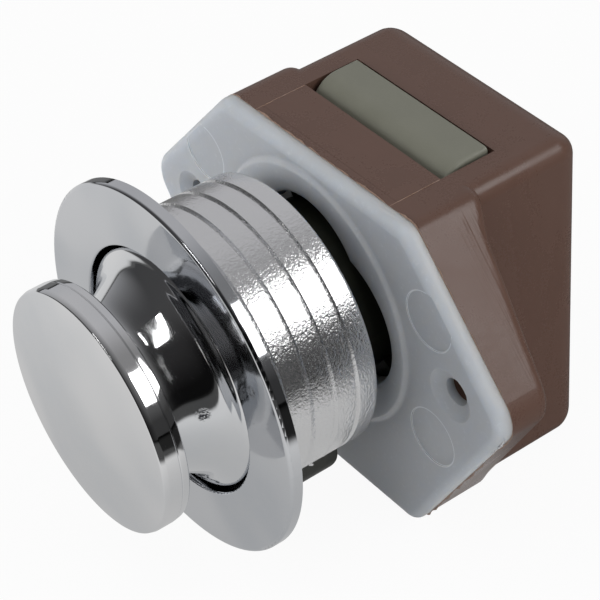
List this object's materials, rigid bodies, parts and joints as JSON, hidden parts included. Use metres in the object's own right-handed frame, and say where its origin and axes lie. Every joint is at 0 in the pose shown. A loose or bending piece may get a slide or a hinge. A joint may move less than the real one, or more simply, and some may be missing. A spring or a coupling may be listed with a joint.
{
  "type": "push button cabinet lock",
  "caption": "Push button lock for a cabinet door: a round knob on a ribbed barrel with a rosette, and a hexagonal plate with a boxed housing whose flat bolt slides out of its top.",
  "frame": {"origin": "where the barrel's axis meets the door face of the base plate, midway between the two screw holes", "axes": "-Y from the door face towards the knob, +Z the way the bolt slides out, +X to the right seen from the knob"},
  "size_m": [0.048, 0.044, 0.0363],
  "materials": {
    "base_plate": "milky translucent moulded plastic",
    "housing": "satin chocolate brown moulded plastic",
    "rosette": "bright mirror chrome",
    "barrel": "chrome over a rough cast skin",
    "guide_sleeve": "dark olive moulded plastic",
    "knob": "bright mirror chrome",
    "spindle": "olive grey moulded plastic",
    "stop_washer": "black rubber",
    "screw_steel": "zinc plated steel",
    "latch_plastic": "satin olive grey moulded plastic",
    "spring_steel": "drawn spring wire"
  },
  "bodies": {
    "case": {"base_plate": "base_plate", "housing": "housing", "bolt_keeper": "housing", "rosette": "rosette", "barrel": "barrel", "guide_sleeve": "guide_sleeve", "knob_spring": "spring_steel", "bolt_spring_left": "spring_steel", "bolt_spring_right": "spring_steel"},
    "knob_set": {"knob": "knob", "spindle": "spindle", "stop_washer": "stop_washer", "spindle_clip": "spring_steel", "knob_screw": "screw_steel", "drive_cam": "latch_plastic"},
    "bolt": {"latch_bolt": "latch_plastic"},
    "follower": {"follower_wire": "spring_steel"}
  },
  "joints": [
    {"name": "knob_push", "type": "slide", "parent": "case", "child": "knob_set", "axis": [0, 1, 0], "range_m": [0, 0.008], "stiffness_N_per_m": 300, "springref_m": -0.006, "deforming": ["knob_spring"]},
    {"name": "bolt_slide", "type": "slide", "parent": "case", "child": "bolt", "axis": [0, 0, 1], "range_m": [0, 0.007], "deforming": ["bolt_spring_left", "bolt_spring_right"]},
    {"name": "follower_swing", "type": "hinge", "parent": "case", "child": "follower", "pos_m": [0, 0.0166, 0.009], "axis": [0, 0, 1], "range_deg": [0, 10.6]}
  ],
  "couplings": [
    {"joint": "bolt_slide", "follows": "knob_push", "ratio": 0.875},
    {"joint": "follower_swing", "follows": "knob_push", "rad_per_m": 22.867}
  ]
}
